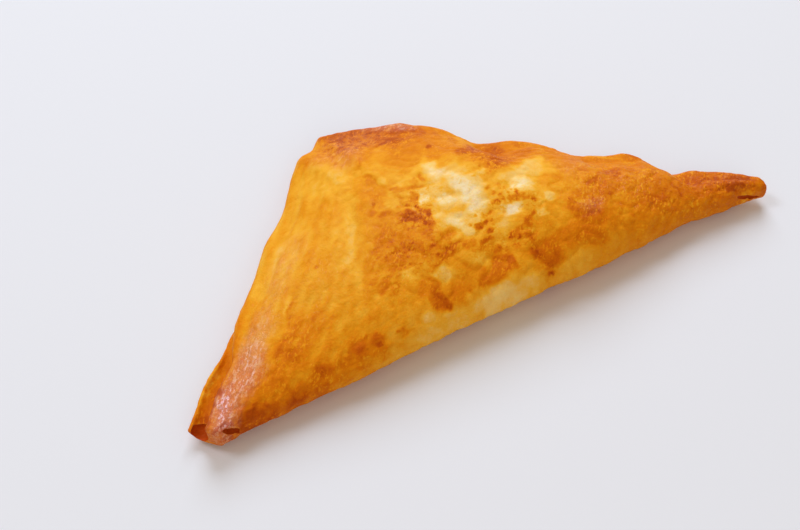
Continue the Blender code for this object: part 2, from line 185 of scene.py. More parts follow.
PLATEAU = (
    (-25, -23, 6, 3, 25, 0.65), (-19, -22, 3, 2.4, 0, 0.71), (-21, -19.5, 3.2, 1.0, -10, 0.68),
    (-17, -24, 3, 1.6, 30, 0.70, 0.7), (-14, -26, 1.4, 1.1, 0, 0.80, 0.9),
    (-8.5, -28, 3, 1.5, 25, 0.78), (-11, -30.5, 6, 1.6, 10, 0.71),
    (-5, -28.5, 2.6, 1.2, 10, 0.74), (-32, -18, 4, 1.6, 38, 0.61), (-33, -22, 4.5, 1.4, 30, 0.66),
    (-37, -27, 3.6, 1.4, 30, 0.65, 0.7), (-36, -31, 3.4, 2.2, 10, 0.68),
    (-33, -34, 3, 1.6, 30, 0.62, 0.7), (-34, -15.5, 5, 1.6, 32, 0.36),
    (-34, -23.6, 4.4, 0.8, 30, 0.46, 0.7), (-26, -20, 4, 0.8, 20, 0.50, 0.6),
    (-14.5, -10.5, 3.2, 2.4, -30, 0.80, 0.9), (-12, -13, 3.0, 2.0, -40, 0.82),
    (-7.6, -13.4, 1.4, 2.0, 0, 0.74, 0.9), (-9.5, -16.5, 2.6, 2.2, 60, 0.74),
    (-10.5, -20, 1.4, 1.8, 0, 0.68), (-12, -6, 1.6, 1.4, 0, 0.75),
    (-9.3, -7.8, 0.9, 0.9, 0, 0.78, 0.9), (-22, 10, 5.5, 4, 70, 0.50, 0.7),
    (-20, 4, 5, 3, 80, 0.54), (-22.3, 1.3, 1.1, 0.9, 0, 0.76, 0.9),
    (-24.5, -2, 2.4, 1.6, 50, 0.66), (-22, -5.5, 1.8, 1.4, 0, 0.67), (-26, -12, 3, 1.5, 40, 0.62),
    (-29, -13, 2, 1.2, 40, 0.56, 0.7), (-17, -14, 3, 2, 0, 0.52, 0.6),
    (-25, -31, 5, 2.8, 20, 0.33, 0.9), (-15, -36, 5, 3.2, 10, 0.25, 0.9),
    (-4, -34.5, 4, 1.8, -10, 0.40), (-17, -30, 6, 1.5, 5, 0.46, 0.7),
    (-25, -26.5, 3, 1.2, 10, 0.50, 0.7), (-15.5, -17.5, 5, 2.0, -30, 0.49),
    (-19, -13.5, 3, 2.0, -30, 0.47, 0.7), (-14.5, 0, 1.8, 5, 0, 0.31),
    (-15, -7.5, 2.4, 1.6, 0, 0.44, 0.7), (-18.6, -1.6, 2.2, 1.8, 0, 0.58),
    (-6.5, 0, 4.4, 1.6, 0, 0.60), (-5, 2.4, 1.6, 1.6, 0, 0.56, 0.7),
    (-8.3, -4.4, 1.8, 2.6, 0, 0.60), (-9.6, -10.4, 1.5, 2.4, 20, 0.72, 0.9),
    (-6, -24, 3.6, 2.8, 0, 0.58, 0.9), (-1.5, -31, 3.6, 1.9, 0, 0.62, 0.9),
    (-33, -29, 3, 1.8, 20, 0.63, 0.7), (-19.5, -37, 2.2, 3.0, 0, 0.64),
    (-17, -48.5, 4.4, 1.8, 0, 0.34), (-50, -8, 5, 8, 60, 0.47, 0.7),
    (-36, 11, 6, 7, 60, 0.47, 0.6), (-39.5, -4.5, 3.4, 2.8, 40, 0.28),
    (-45, -37.5, 4, 1.8, 0, 0.52, 0.6), (-34, -38, 4, 2.2, 0, 0.52, 0.6),
    (-25, -46.5, 5, 2.0, 0, 0.38), (-1, -37, 3.6, 2.2, 0, 0.34), (-27, 9, 2.4, 4, 0, 0.30, 0.7),
    (-38, 28, 4, 4, 50, 0.33, 0.7), (-58, -30.5, 5, 2.6, 20, 0.44, 0.7),
    (-43, -9.5, 3.4, 3, 50, 0.31, 0.7), (-20, -30.5, 3, 2, 0, 0.42),
    (-36, 3.5, 5, 4, 60, 0.48, 0.7), (-45.5, 11, 4, 3, 50, 0.45, 0.6),
    (-50, -28, 5, 4, 30, 0.38, 0.6), (-62, -3, 4, 3, 48, 0.28, 0.5),
)
UPPER = (
    (-25, 22, 5, 4, 60, 0.24), (-30, 10, 5, 2.4, 70, 0.29, 0.7),
    (-31, 3, 4.6, 2.4, 66, 0.27, 0.7), (-33.5, -3, 5, 2.6, 70, 0.24, 0.7),
    (-37, -9, 5, 2.6, 60, 0.27, 0.7), (-41, -15, 5, 2.2, 40, 0.25),
    (-41, -22, 5, 1.6, 62, 0.28, 0.7), (-46, -34.6, 3, 1.0, 10, 0.33, 0.7),
    (-13, 16, 4, 3, 30, 0.37, 0.7), (-17, -2.5, 3, 2.4, 60, 0.35, 0.9), (-8, 9, 4, 2.4, 10, 0.35),
    (-14.5, 9.5, 1.6, 2.8, 0, 0.25), (-9, 5, 3, 1.6, 10, 0.27), (-5.5, 5, 2, 1.4, 0, 0.28),
    (-12.5, 3.5, 1.8, 1.6, 0, 0.63), (-1.8, 3, 1.3, 2.2, -10, 0.62), (-10, 1.3, 3, 1.4, 10, 0.56),
    (-3.5, 18, 3, 2, 60, 0.56), (11, 18.5, 2.2, 1.8, 60, 0.80, 0.9),
    (20, 8.5, 5, 1.9, 25, 0.74, 0.9), (25, 4, 6, 2, 55, 0.68, 0.7),
    (26.5, -2.5, 3.4, 2.2, 60, 0.77, 0.9), (36, 10, 5, 3, 55, 0.76), (34, 3, 8, 2, 56, 0.68, 0.7),
    (30, -4, 1.4, 1, 0, 0.76), (-15, 40, 6, 1.6, 60, 0.72), (-9, 42, 6, 1.6, 58, 0.72),
    (-20, 38, 5, 1.8, 60, 0.56, 0.7), (3, 31, 5, 2.2, 40, 0.72), (12, 35, 6, 2.2, 58, 0.78),
    (6.5, 28.5, 2.4, 2, 50, 0.54), (1, 26, 3, 2, 30, 0.68, 0.7), (-20, 27, 3, 1, 50, 0.64),
    (-15, 24, 3.4, 1.2, 50, 0.63), (-17.5, 13, 1.4, 3, 0, 0.60), (-23, 31, 2, 1, 50, 0.60, 0.7),
    (-17, 28, 4, 2.6, 45, 0.56, 0.7), (-18.5, 19.5, 3, 2.4, 0, 0.34, 0.7),
    (-2, 14, 5, 7, 60, 0.55), (0, 33, 3.4, 2.4, 0, 0.76), (8, 10, 5, 3, 0, 0.58, 0.7),
    (5, 25, 5, 2.2, 60, 0.64, 0.7), (24.5, 11.5, 4.4, 2.8, 60, 0.76, 0.9),
    (21.5, 15, 4, 2.6, 50, 0.56), (46, 9.5, 5, 2.4, -38, 0.64), (-27, 40, 5, 5, 50, 0.55, 0.7),
    (-14, 46, 6, 3, -20, 0.75), (-6, 33.5, 4, 3, 0, 0.66, 0.6), (8, 37.5, 5, 2.5, -20, 0.76, 0.6),
    (-13.5, 26, 4, 3, 40, 0.56, 0.6), (-20, 30, 5, 3, 50, 0.47, 0.6),
    (35, -4, 6.4, 3.4, 35, 0.57, 0.9), (32, -1, 6, 3.6, 40, 0.70, 0.9),
    (43, 2, 7, 4.4, 40, 0.67, 0.9), (28, -5, 5, 2.6, 20, 0.72), (26, 9.5, 5, 2.4, 50, 0.83, 0.7),
    (22, 20.5, 4, 2.4, 50, 0.66, 0.7), (2, 30, 7, 2.2, 0, 0.82, 0.7),
    (-16, 36, 4, 3.4, 50, 0.74, 0.7), (-6, 9, 4, 2, 0, 0.50), (9, 5, 4, 3, 0, 0.48, 0.7),
)
PALE = (
    (4.5, 8, 2.8, 5, 0, 0.10, 0.9), (4.5, 2, 3.6, 4, 0, 0.05, 0.9),
    (7.5, -3, 2.6, 4.4, 35, 0.06, 0.9), (9, -7, 4, 3.6, 0, 0.02, 0.95),
    (10.5, -12, 4.6, 5, -20, 0.00, 0.95), (5, -13, 4, 2.4, -25, 0.03, 0.9),
    (0.5, -11, 3, 2.6, 0, 0.04, 0.9), (8, -18, 6, 3, 0, 0.10, 0.9),
    (-0.5, -20.5, 4, 3, 0, 0.06, 0.9), (0.5, -25, 2.4, 3.2, 10, 0.12, 0.9),
    (2.5, -16.5, 4.4, 2.1, -8, 0.36, 0.95), (3.5, -9.5, 1.6, 3.2, 20, 0.30),
    (-5.5, -6, 2.4, 2.8, -20, 0.05, 0.9), (-4.5, -14, 2.4, 3, 0, 0.20),
    (19.5, -25, 4, 2.5, 0, 0.00, 0.95), (20.5, -21.5, 1.6, 1.4, 0, 0.14),
    (28.5, -16.5, 5, 3.6, 10, 0.00, 0.95), (33, -11, 8, 4, 35, 0.16, 0.9),
    (40, -9, 6, 2.6, 40, 0.24, 0.9), (26.5, -8, 3.4, 2.8, 0, 0.42, 0.9),
    (43, -15, 5, 2, 55, 0.33, 0.7), (35, -16, 3, 3, 0, 0.26, 0.7), (18.5, -5, 2.6, 2, 0, 0.20),
    (35, -26.5, 2.8, 2.2, 0, 0.18, 0.9), (28, -31, 3, 1.6, -20, 0.20),
    (12.5, -28.5, 4.2, 2.8, 0, 0.24, 0.9), (11.5, -33, 2.2, 3, 0, 0.32, 0.9),
    (12.5, -43, 3.4, 4.6, 0, 0.44, 0.9), (35, -21, 3, 3, 0, 0.38),
    (31, -22.5, 3, 2, 0, 0.33, 0.7), (21.5, -21.8, 2.4, 1.2, 0, 0.26, 0.7),
    (29.5, -20.8, 2.6, 1.4, 0, 0.20), (30, -27.6, 3, 1.4, 0, 0.28, 0.7),
    (14, -8.5, 2.6, 5, 10, 0.12), (8, -16.5, 6, 3.4, 0, 0.04, 0.9), (8, -22.4, 3, 2, 0, 0.16),
    (1, -17.5, 3, 4, 0, 0.14, 0.6), (24.5, -34.5, 2.2, 3, 0, 0.46),
    (34, -37, 2.6, 1.4, 30, 0.46, 0.7), (26, -37, 2.4, 3, 0, 0.46, 0.7),
)
BROWN = (
    (50, -29.5, 8, 3, 0, 0.64, 0.6), (-20.5, -42, 3.2, 4.4, 0, 0.77, 0.9),
    (-18.5, -45, 2.2, 2.2, 0, 0.80, 0.9), (-12.5, -43.5, 5, 3.4, 0, 0.62, 0.9),
    (-24, -37, 2.4, 3.4, -20, 0.61), (2, -43, 7.6, 3.2, 12, 0.71, 0.9),
    (8, -43, 3.4, 2, 10, 0.77), (6, -39.5, 5, 1.8, 5, 0.72), (10.5, -41, 1.6, 1.8, 0, 0.80),
    (7, -35.5, 1.6, 2.2, 10, 0.72, 0.9), (3, -33, 4, 1.6, 0, 0.57), (16, -20, 2.2, 1.2, 0, 0.64),
    (23, -22, 3.6, 1.4, -40, 0.62), (27, -24, 3, 1.3, -35, 0.66),
    (22.6, -31.5, 2.8, 1.8, 50, 0.77, 0.9), (25, -29.8, 1.6, 1.2, 0, 0.70),
    (15.5, -33.4, 3, 1.5, 0, 0.68, 0.9), (19.5, -37, 2, 3, 0, 0.68, 0.9),
    (20, -42, 3, 2.6, 0, 0.78, 0.9), (24, -46, 4.4, 3, 0, 0.77, 0.9), (24, -42, 5, 3.0, 0, 0.68),
    (33, -42, 6, 4, 0, 0.63), (40.5, -33.5, 3.4, 4, 0, 0.68, 0.9), (42, -44, 5, 4.4, 0, 0.67),
    (38, -18.5, 4, 4, 0, 0.50), (64.5, -24.5, 3.4, 2.4, 20, 0.79), (56, -32, 5, 3, 0, 0.72, 0.7),
    (92, -39, 5, 3, -10, 0.82), (101, -42.5, 4, 2.6, -20, 0.82),
    (96, -44, 4, 2.4, -20, 0.78, 0.7), (90, -38.6, 3, 2, -30, 0.80, 0.7),
    (88, -47.5, 5, 1.8, -8, 0.56, 0.6), (59, -20.5, 4, 2, 20, 0.46),
    (73, -29, 3, 5, -30, 0.52, 0.7), (64, -38, 4, 4, 0, 0.56, 0.6),
    (45, -38, 6, 2.6, -5, 0.74, 0.9), (50, -34.5, 4, 3, 0, 0.66), (55, -43, 6, 2.4, 10, 0.50),
    (50, -45, 5, 2.4, 0, 0.54, 0.7), (55, -25.5, 5, 2, 20, 0.74), (60, -29, 7, 2, 10, 0.66),
    (65, -23, 4, 1.8, 0, 0.70), (48.5, -13, 5, 2, 55, 0.54, 0.7), (-52, -44, 4.4, 2.4, 20, 0.69),
    (-46, -45, 4, 2.2, 0, 0.70), (-56, -46.5, 8, 2, 0, 0.68, 0.7),
    (-57, -42, 3, 1.8, 10, 0.52, 0.7), (-36, -46.5, 2.8, 1.7, 0, 0.66, 0.9),
    (-68, -46, 6, 2.6, 8, 0.76), (-82, -47, 10, 2, 5, 0.65), (-92, -47, 5, 1.8, 0, 0.80),
    (95, -37, 5, 3, -35, 0.76), (103, -45, 5, 3, -15, 0.74), (-26, -46, 4, 2.4, 0, 0.24),
    (-40, -46, 4, 2.4, 0, 0.36, 0.7), (-60, -43.5, 4, 2, 10, 0.47), (0, -36.5, 5, 2.2, 0, 0.33),
    (-8, -45.5, 3.6, 2, 0, 0.38), (11, -33.5, 1.8, 3, 0, 0.34), (26, -34, 2, 2.4, 0, 0.42, 0.7),
    (78, -45, 4, 2.4, 0, 0.58, 0.7),
)
FLECKS = (
    (2.5, -16.5, 4.2, 1.7, -8, 0.34, 0.9), (12.5, -26.4, 2.6, 1.2, 0, 0.44),
    (4.5, -31.4, 3.4, 0.8, 10, 0.76, 0.9), (7, -31.6, 1.2, 0.9, 0, 0.80, 0.9),
    (5.5, -26, 2, 1.4, 0, 0.72, 0.9), (8, -29, 2, 1.1, 10, 0.80, 0.9),
    (8.5, -25.4, 1.6, 0.6, 10, 0.76, 0.9), (3, -24.5, 1, 0.7, 0, 0.60),
    (6.3, -21.4, 0.9, 0.7, 0, 0.62), (12, -22.6, 1.6, 0.7, 10, 0.66),
    (9, -23, 0.8, 1.2, 0, 0.48, 0.7), (16.5, -13.5, 1.3, 0.8, 40, 0.62),
    (17, -16.5, 1.2, 0.7, 30, 0.60), (20.5, -14, 1.4, 0.6, 50, 0.58, 0.7),
    (19, -18, 1, 0.6, 20, 0.58, 0.7), (24.2, -20.5, 2.2, 0.6, 60, 0.79, 0.9),
    (28.4, -25.2, 1.1, 0.6, 0, 0.78, 0.9), (13.5, -4.2, 1.2, 0.8, 20, 0.46, 0.7),
    (14.5, -7, 0.7, 0.7, 0, 0.44, 0.7), (22, 0, 1.2, 0.7, 60, 0.58, 0.7),
    (24.5, 0.3, 1, 0.6, 50, 0.66, 0.7), (19, -4, 1.2, 0.6, 60, 0.48, 0.7),
    (21.7, -49.3, 1.5, 0.6, 0, 0.88, 0.9), (20, -41.8, 1.0, 0.8, 0, 0.84, 0.9),
    (16.5, -35, 1.2, 0.5, 50, 0.78), (14.5, -34.6, 0.6, 0.5, 0, 0.76),
    (-51.5, -11.5, 0.9, 0.8, 0, 0.62), (-62.5, -29, 1.2, 0.8, 30, 0.60),
    (-36, 8, 1.6, 0.6, 50, 0.50, 0.7), (-37, 5, 1.2, 0.7, 40, 0.48, 0.7),
    (-43, 3, 1.4, 0.6, 60, 0.47, 0.6), (-16.5, 11, 1, 1.2, 0, 0.60, 0.7),
    (-4, 4, 0.8, 0.8, 0, 0.50, 0.7), (-60, -45.5, 1.4, 0.8, 20, 0.50),
    (-63.5, -41.8, 1.2, 0.7, 30, 0.48), (-58, -43, 1, 0.6, 0, 0.52),
    (-71, -33, 1.6, 0.8, 40, 0.48), (-50, -42, 1.2, 0.6, 20, 0.52, 0.7),
    (-46, -46.6, 1.4, 0.8, 0, 0.80), (-38.5, -46, 0.8, 0.6, 0, 0.78, 0.7),
)
# The pale band along the fold, the browned apex, and the finish of the two tips. Among them are
# painted shade round the mouths, along the upper layer's wall over the left trough and at the start
# of the right tip's slit, and painted highlights along the trough's outer rim, on the right tip's
# lip and end, and in a pale line on the right slope.
EDGES = (
    (-10, 51.5, 16, 2.2, -8, 0.80), (13, 44.5, 12, 1.8, -36, 0.82),
    (-22, -49.5, 14, 3.0, 0, 0.28, 0.9), (2, -49, 13, 3.0, 0, 0.16, 0.95),
    (13, -49, 6, 3, 0, 0.27), (32, -49.5, 8, 2.2, 0, 0.36, 0.9), (47, -50, 8, 1.6, 0, 0.46, 0.7),
    (-104, -36, 9, 3.4, 47, 0.65, 0.9), (-95, -28, 8, 1.3, 47, 0.70),
    (-103, -37, 7.5, 1.5, 47, 0.83, 0.9), (-108, -38.5, 3.6, 2, 46, 0.85),
    (-98, -25, 16, 2.2, 43, 0.55, 0.9), (-101, -26.2, 13, 0.8, 45.4, 0.26),
    (-110.7, -43.4, 3, 2.6, 42, 0.86, 0.9), (-95, -42, 5, 2.6, 20, 0.60, 0.7),
    (-105, -47.8, 3.6, 1.6, -6, 0.86, 0.9), (-96.5, -48, 5, 2.2, 5, 0.85, 0.85),
    (-99, -44.6, 3.4, 2.2, 20, 0.72, 0.7), (-66, -19, 6, 1.1, 48, 0.34, 0.7),
    (-67.5, -22.5, 5, 1.0, 50, 0.64), (-80, -27, 5, 2, 42, 0.44, 0.7),
    (103, -50, 9, 1.4, -4, 0.66), (104, -47.5, 4, 1.6, -14, 0.70, 0.9),
    (103.4, -48.0, 2.8, 1.2, -14, 0.85, 0.9), (99.6, -48.8, 2.2, 0.7, -10, 0.50),
    (98.5, -47.5, 1.5, 1.2, 0, 0.58), (113, -41, 3, 2, -20, 0.84, 0.9),
    (108.5, -51.2, 4, 0.9, -6, 0.46, 0.9), (105, -53, 6, 1.0, -8, 0.86, 0.9),
    (112.5, -50, 2.6, 1.8, -30, 0.62), (108, -44.4, 6, 1.0, -22, 0.88, 0.9),
    (69, -9.8, 9, 1.2, -38, 0.36), (80, -16, 4, 3.0, -40, 0.67), (58, 8, 7, 1.6, -48, 0.68),
    (116, -47, 2.4, 4, 0, 0.60),
)
# A brush: where a patch fades out, and how far and how finely its edge wanders.
SOFT_BRUSH = (0.35, 1.40), ((0.0034, 0.0100), (0.0014, 0.0036))
CLEAR_BRUSH = (0.50, 1.22), ((0.0016, 0.0052), (0.0009, 0.0020))
FINE_BRUSH = (0.55, 1.20), ((0.0006, 0.0028), (0.0004, 0.0012))
PAINTING = (
    (TONES, SOFT_BRUSH),
    (PALE, CLEAR_BRUSH),
    (PLATEAU, CLEAR_BRUSH),
    (UPPER, CLEAR_BRUSH),
    (BROWN, CLEAR_BRUSH),
    (FLECKS, FINE_BRUSH),
    (EDGES, CLEAR_BRUSH),
)

# Where a pink blush is painted, partly the crust's own pinkish brown and partly painted sheen of
# the light on its oil, in the same way: place, half sizes, turn and strength.
BLUSHES_AND_SHEEN = (
    (-102.6, -42.3, 10, 3.9, 43, 1.0), (-90.2, -33.9, 17, 4.8, 42, 0.62),
    (-81, -24, 12, 5, 44, 0.35), (-60, -3, 16, 6, 50, 0.15), (-10, 40, 14, 9, -10, 0.08),
    (-25, 36, 6, 5, 50, 0.12), (47, -36, 5, 3, 0, 0.18), (55, -12, 12, 6, 55, 0.12),
    (6, 42, 11, 3.4, -30, 0.5), (-18, 31, 9, 6, 50, 0.2), (19.5, -25, 3, 2, 0, 0.15),
    (5, 2, 2.6, 2.6, 0, 0.15),
)
# Where the oil shines most, in the same way.
GLOSSY = (
    (-103, -42.8, 9, 4.0, 43, 1.0), (-89.2, -31.9, 20, 4.8, 42, 0.8), (-74, -17, 16, 6, 46, 0.4),
    (-12, 40, 16, 9, -10, 0.22), (8, 42, 9, 3, -30, 0.5), (32, 5, 12, 6, 52, 0.08),
    (-25, -10, 24, 30, 0, 0.10), (-50, -10, 30, 16, 46, 0.15), (75, -35, 35, 12, -20, 0.20),
    (47, -35, 6, 4, 0, 0.4), (103, -47, 11, 5, -12, 0.2),
)
# Where dark specks, coarse mottling and painted glints gather, in the same way.
SPECKS_AND_GLINTS = (
    (-11.5, -13, 8, 8, -50, 1.0), (7.5, -25, 7, 6, 0, 0.9), (20, -19, 8, 6, 10, 0.9),
    (-5, -5, 9, 8, 0, 0.6), (22, 0, 8, 8, 50, 0.6), (-9, 40, 18, 11, -10, 0.8),
    (27, -27, 8, 6, 0, 0.7), (-20, -24, 16, 10, 10, 0.7), (12, -35, 16, 5, 0, 0.7),
    (48, -34, 10, 6, 0, 0.6), (70, -34, 34, 16, -15, 0.35), (105, -44, 10, 6, -14, 0.7),
    (-60, -44, 14, 4, 0, 0.10), (6, -8, 10, 12, 0, 0.30),
)

# Mottling of the doneness: how far it strays, and the size of its patches.
MOTTLES = ((0.045, 0.0090), (0.055, 0.0034), (0.075, 0.0016))
CALM_SHARE = 0.45
# Crinkle crests brown, streaks pale and lips brown; the slit between the layers is darkened as
# painted shade.
RIDGE_BROWNING, STREAK_PALING, LIP_BROWNING, SLIT_PAINTED_SHADE = 0.10, 0.13, 0.04, 0.22
UNDERSIDE_DONENESS, UNDERSIDE_MOTTLES = 0.60, ((0.22, 0.0150), (0.12, 0.0050))

# The palette of the crust: (doneness, linear colour) stops, the walls of the hollows, browned and
# darkened as painted shade, and the pink blush, partly the crust's own and partly painted sheen,
# with painted highlights that turn lilac where the blush is strongest.
CRUST_PALETTE = (
    (0.00, (0.930, 0.760, 0.500)), (0.14, (0.910, 0.600, 0.190)), (0.32, (0.890, 0.440, 0.034)),
    (0.46, (0.820, 0.320, 0.010)), (0.58, (0.740, 0.225, 0.004)), (0.72, (0.610, 0.138, 0.003)),
    (0.82, (0.480, 0.084, 0.003)), (0.92, (0.290, 0.040, 0.004)), (1.00, (0.110, 0.016, 0.004)),
)
HOLLOW_BROWN_AND_SHADE = (0.450, 0.060, 0.004, 1.0)
BLUSH_AND_SHEEN_COLOUR, BLUSH_AND_SHEEN_SHARE = (0.695, 0.225, 0.195, 1.0), 0.55
PAINTED_HIGHLIGHT_COLOUR, PAINTED_HIGHLIGHT_SHARE, PAINTED_HIGHLIGHT_EDGE = (1.000, 0.670, 0.440, 1.0), 0.80, (-0.01, 0.12)
LILAC_HIGHLIGHT_COLOUR, LILAC_HIGHLIGHT_EDGE = (0.970, 0.610, 0.820, 1.0), (0.45, 0.80)

# Noises in the finish: scale, detail and roughness.
MOTTLE_NOISE = (420.0, 4.0, 0.6)
FINE_NOISE = (1500.0, 3.0, 0.6)
FLECK_NOISE = (640.0, 2.0, 0.6)
SPARKLE_NOISE = (900.0, 2.0, 0.6)
PAINTED_HIGHLIGHT_NOISE = (820.0, 4.0, 0.75)
GLINT_NOISE = (1150.0, 2.0, 0.6)
GLINT_PATCH_NOISE = (150.0, 1.0, 0.6)
# The finish: mottling in the colour, dark flecks, pale glints painted into the colour as
# highlights, how rough and oily the crust is, how deep light sinks into it, and its grain.
MOTTLE_CALM, MOTTLE_SPECKLED = 0.16, 0.50
FINE_SHARE = 0.12
FLECK_EDGE, FLECK_SHARE = (0.03, 0.15), 0.19
GLINT_STRETCH, GLINT_TURN = 2.2, 46
GLINT_EDGE, GLINT_SHARE, GLINT_DONENESS = (0.02, 0.14), 0.22, (0.38, 0.70)
GLINT_PATCH_EDGE, GLINT_CALM, GLINT_SPECKLED = (-0.16, 0.12), 0.75, 1.2
DARKEST = 0.84
ROUGHNESS, ROUGHNESS_STRAY = 0.45, 0.35
SPECULAR, COAT_ROUGHNESS = 0.03, 0.18
SPARKLE_EDGE, SPARKLE_CALM, SPARKLE_GLOSSY = (0.02, 0.14), 0.04, 1.20
SHEEN_GLOSSY = 0.25
SINK_SHARE, SINK_COLOUR, SINK_DEPTH = 0.12, (1.0, 0.35, 0.1), 0.002
BUMP_STRENGTH, BUMP_DISTANCE, BUMP_MOTTLE, BUMP_GLOSSY = 0.7, 0.0004, 0.6, 1.2

# The camera, in the plan's frame, and the light: a window behind and one to the left, a soft fill
# that casts no shine from the camera's side, and a bright room.
CAMERA_PLACE = (-0.1669, -0.2742, 0.412)
CAMERA_HEADING, CAMERA_PITCH = 29.3, 53.5
CAMERA_LENS, CAMERA_SENSOR, CAMERA_NEAR = 63.0, 36.0, 0.01
# Each lamp: direction, distance, size, power, colour and whether it shines in the crust's gloss.
LAMPS = {
    "back_window": ((0.35, 0.69, 0.63), 2.6, 1.60, 50.0, (0.85, 0.95, 1.0), True),
    "left_window": ((-0.45, 0.40, 0.80), 2.4, 0.72, 12.5, (0.85, 0.95, 1.0), True),
    "fill": ((-0.25, -0.80, 0.55), 2.4, 2.00, 9.0, (1.0, 0.94, 0.84), False),
}
WORLD_COLOUR, WORLD_STRENGTH = (1.0, 0.81, 0.55, 1.0), 0.45
FLOOR_COLOUR = (0.775, 0.80, 0.935, 1.0)
FLOOR_HALF, FLOOR_DROP = 3.0, 0.0002
FLOOR_ROUGHNESS, FLOOR_SPECULAR = 0.6, 0.1


def keyed(pairs, share):
    """The value between (share, value) pairs, with no kink at any of them."""
    at = np.array([pair[0] for pair in pairs], dtype=float)
    values = np.array([pair[1] for pair in pairs], dtype=float)
    slopes = np.gradient(values, at)
    left = np.clip(np.searchsorted(at, share, side="right") - 1, 0, len(at) - 2)
    span = at[left + 1] - at[left]
    t = (share - at[left]) / span
    rise = values[left] + (values[left + 1] - values[left]) * t * t * (3 - 2 * t)
    return rise + span * (slopes[left] * t * (1 - t) ** 2 - slopes[left + 1] * t * t * (1 - t))


def ease(low, high, value):
    """0 up to low, 1 from high on, and a smooth step between."""
    t = np.clip((value - low) / (high - low), 0.0, 1.0)
    return t * t * (3 - 2 * t)


def bump(offset, reach):
    """A hump of 1 at no offset, down to about a third at the reach."""
    return np.exp(-((offset / reach) ** 2))


def lengths_along(points):
    """How far along the line each of its points is."""
    steps = np.linalg.norm(np.diff(points, axis=0), axis=1)
    return np.concatenate([[0.0], np.cumsum(steps)])


def read_at(where, along, points):
    """The line's points, or what goes with them, at lengths along it."""
    return np.stack([np.interp(where, along, column) for column in points.T], axis=-1)


def spaced(points, count):
    """The same line through count evenly spaced points."""
    along = lengths_along(points)
    return read_at(np.linspace(0.0, along[-1], count), along, points)


def curve_through(points):
    """A Catmull-Rom curve through the points, PER_SPAN steps from each to the next."""
    p = np.vstack([2 * points[0] - points[1], points, 2 * points[-1] - points[-2]])
    t = np.linspace(0.0, 1.0, PER_SPAN, endpoint=False)[:, None]
    spans = [
        0.5 * (2 * b + (c - a) * t + (2 * a - 5 * b + 4 * c - d) * t ** 2
               + (3 * b + d - a - 3 * c) * t ** 3)
        for a, b, c, d in zip(p, p[1:], p[2:], p[3:])
    ]
    return np.vstack([*spans, points[-1:]])


def noise_at(size, layer, x, y, z=0.0):
    """Smooth noise between about -1 and 1, with features of the given size."""
    x, y, z = np.broadcast_arrays(x, y, z)
    flat = zip((x / size).ravel(), (y / size).ravel(), (z / size + layer).ravel())
    return np.array([noise.noise(Vector(place)) for place in flat]).reshape(x.shape)


def turned(x, y, degrees):
    """The same places measured along and across a direction."""
    cos, sin = math.cos(math.radians(degrees)), math.sin(math.radians(degrees))
    return x * cos + y * sin, y * cos - x * sin


def seam_line():
    """Points along the seam in plan, softened at the corners and drawn in at the dips, and the
    outward normal and the length along at each."""
    line = spaced(np.array(SEAM_CORNERS), DENSE)
    along = lengths_along(line)
    reach = int(4 * CORNER_SOFTNESS / along[1])
    weights = bump(np.arange(-reach, reach + 1) * along[1], math.sqrt(2) * CORNER_SOFTNESS)
    before = 2 * line[0] - line[reach:0:-1]
    after = 2 * line[-1] - line[-2:-reach - 2:-1]
    padded = np.vstack([before, line, after])
    weights /= weights.sum()
    line = np.stack([np.convolve(column, weights, "valid") for column in padded.T], axis=1)
    tangents = np.gradient(line, axis=0)
    tangents /= np.linalg.norm(tangents, axis=1)[:, None]
    outward = np.stack([-tangents[:, 1], tangents[:, 0]], axis=1)
    for place, half_width, depth in SEAM_DIPS:
        line = line - outward * (depth * bump(along - place, DIP_REACH * half_width))[:, None]
    return line, outward, along


def section(share, along, width, slant):
    """One upright section as stretches of (distance from the fold, height): from the fold over
    the top to the shoulder, round the upper lip into the slit, round the lower lip, underneath,
    and up the toe."""
    crown = keyed(CROWN_HEIGHT, share)
    lip = keyed(LIP_HEIGHT, share)
    fold = keyed(FOLD_HEIGHT, share)
    lift = keyed(BASE_LIFT, share)

    closed = ease(TROUGH_START, TROUGH_END, along)
    rim = closed * np.array(CLOSED_RIM) + (1 - closed) * np.array(OPEN_RIM)
    out = rim[:, 0] * slant * min(1.0, width / FULL_RIM_WIDTH)
    rim = curve_through(np.stack([width + out, lift + rim[:, 1] * (lip - lift)], axis=1))
    slit = SLIT_POINT * PER_SPAN
    shoulder, heel = rim[0], rim[-1]

    crest = keyed(CROWN_PLACE, share) * shoulder[0]
    turn = np.linspace(0.0, 0.5 * math.pi, ARC_STEPS)
    rise = np.stack([
        crest * (1 - np.cos(turn) ** (2 / FOLD_ROUNDNESS)),
        fold + (crown - fold) * np.sin(turn) ** (2 / FOLD_ROUNDNESS),
    ], axis=1)
    t = np.linspace(0.0, 1.0, ARC_STEPS)[1:-1]
    tuck = 1 - closed * (1 - SEAM_TUCK)
    drop = tuck * 0.5 * (1 - np.cos(math.pi * t)) + (1 - tuck) * t ** SEAM_ROUNDNESS
    fall = np.stack([
        crest + (shoulder[0] - crest) * t,
        crown + (shoulder[1] - crown) * drop,
    ], axis=1)

    fold_heel = min(FOLD_HEEL, TIP_HEEL_SHARE * width)
    widest = min(TIP_HEEL_SHARE * width + TIP_HEEL_SPARE, HEEL_LIMIT * (width - fold_heel))
    seam_heel = min(SEAM_HEEL, widest)
    back = np.linspace(1.0, 0.0, ARC_STEPS)[:, None]
    contact = np.array([width - seam_heel, lift])
    sweep = contact + (heel - contact) * np.hstack([back, back ** 2])
    toe = np.stack([
        fold_heel * (1 - np.sin(turn)),
        fold - (fold - lift) * np.cos(turn),
    ], axis=1)
    top = np.vstack([rise, fall, shoulder[None]])
    return top, rim[:slit + 1], rim[slit:], np.vstack([sweep, toe[:1]]), toe


